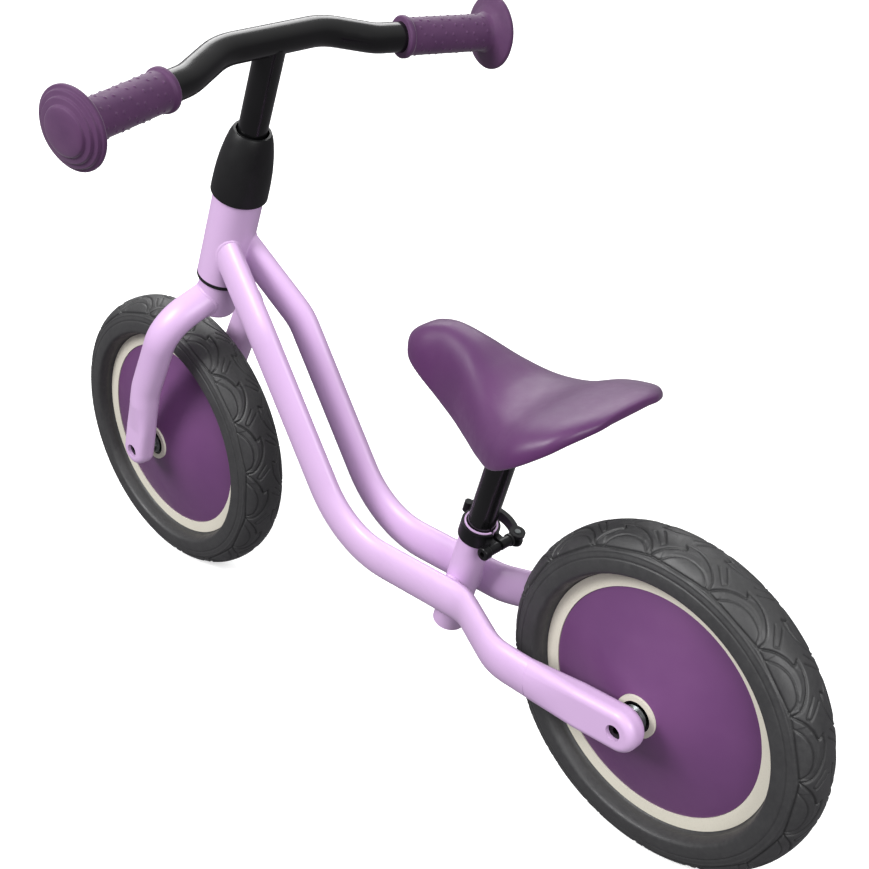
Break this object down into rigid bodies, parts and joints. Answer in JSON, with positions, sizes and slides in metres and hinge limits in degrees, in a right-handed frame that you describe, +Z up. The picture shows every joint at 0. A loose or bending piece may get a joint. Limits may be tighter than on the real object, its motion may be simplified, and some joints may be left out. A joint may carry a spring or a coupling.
{
  "type": "balance bike",
  "caption": "Child's balance bike: curved twin-tube frame, disc wheels with foam tyres, saddle and handlebar that slide in height, quick-release saddle clamp.",
  "frame": {"origin": "on the ground, midway between the wheel axles, on the bike's centre plane", "axes": "+X forward, +Y to the rider's left, +Z up"},
  "size_m": [0.8828, 0.4494, 0.5693],
  "materials": {
    "frame_paint": "satin lilac paint",
    "black_gloss": "gloss black paint",
    "black_satin": "satin black nylon",
    "black_steel": "black oxide steel",
    "steel": "zinc plated steel",
    "bearing_steel": "ground steel",
    "grip_rubber": "matte purple rubber",
    "saddle_skin": "deep purple satin moulded foam skin",
    "disc_plastic": "deep purple satin plastic",
    "rim_plastic": "cream moulded plastic",
    "tyre_foam": "dark grey foam tyre with a pressed tread"
  },
  "bodies": {
    "frame": {"head_tube": "frame_paint", "headset_bearing_lower": "bearing_steel", "headset_bearing_upper": "bearing_steel", "frame_tube_left": "frame_paint", "frame_tube_right": "frame_paint", "seat_tube": "frame_paint", "seat_sleeve": "black_satin", "seat_collar": "black_steel", "clamp_bolt": "black_steel", "clamp_washer": "black_satin", "lever_pin": "steel", "rear_axle": "steel", "rear_axle_bolts": "black_steel", "rear_axle_spacers": "steel"},
    "lever": {"qr_lever": "black_steel"},
    "fork": {"steerer": "steel", "fork_crown": "frame_paint", "lower_seal": "black_satin", "fork_leg_left": "frame_paint", "fork_leg_right": "frame_paint", "stem_clamp": "black_steel", "stem_clamp_bolt": "black_steel", "stem_cover": "black_satin", "front_axle": "steel", "front_axle_bolts": "black_steel", "front_axle_spacers": "steel"},
    "handlebar": {"stem_tube": "black_gloss", "handlebar_tube": "black_gloss", "grip_left": "grip_rubber", "grip_right": "grip_rubber"},
    "saddle": {"seat_post": "black_gloss", "post_plate": "black_gloss", "saddle_base": "black_satin", "saddle_screws": "steel", "saddle_cover": "saddle_skin"},
    "front_wheel": {"front_rim": "rim_plastic", "front_disc_left": "disc_plastic", "front_disc_right": "disc_plastic", "front_tyre": "tyre_foam", "front_bearings": "bearing_steel", "front_bearing_sleeve": "steel"},
    "rear_wheel": {"rear_rim": "rim_plastic", "rear_disc_left": "disc_plastic", "rear_disc_right": "disc_plastic", "rear_tyre": "tyre_foam", "rear_bearings": "bearing_steel", "rear_bearing_sleeve": "steel"}
  },
  "joints": [
    {"name": "steering", "type": "hinge", "parent": "frame", "child": "fork", "pos_m": [0.351, 0, 0], "axis": [-0.3746, 0, 0.9272], "continuous": true},
    {"name": "bar_height", "type": "slide", "parent": "fork", "child": "handlebar", "axis": [-0.3746, 0, 0.9272], "range_m": [-0.034, 0]},
    {"name": "saddle_height", "type": "slide", "parent": "frame", "child": "saddle", "axis": [-0.309, 0, 0.9511], "range_m": [-0.085, 0]},
    {"name": "quick_release", "type": "hinge", "parent": "frame", "child": "lever", "pos_m": [-0.13012, -0.021, 0.19562], "axis": [0.309, 0, -0.9511], "range_deg": [0, 150]},
    {"name": "front_wheel_spin", "type": "hinge", "parent": "fork", "child": "front_wheel", "pos_m": [0.30135, 0, 0.14], "axis": [0, 1, 0], "continuous": true},
    {"name": "rear_wheel_spin", "type": "hinge", "parent": "frame", "child": "rear_wheel", "pos_m": [-0.30135, 0, 0.14], "axis": [0, 1, 0], "continuous": true}
  ]
}
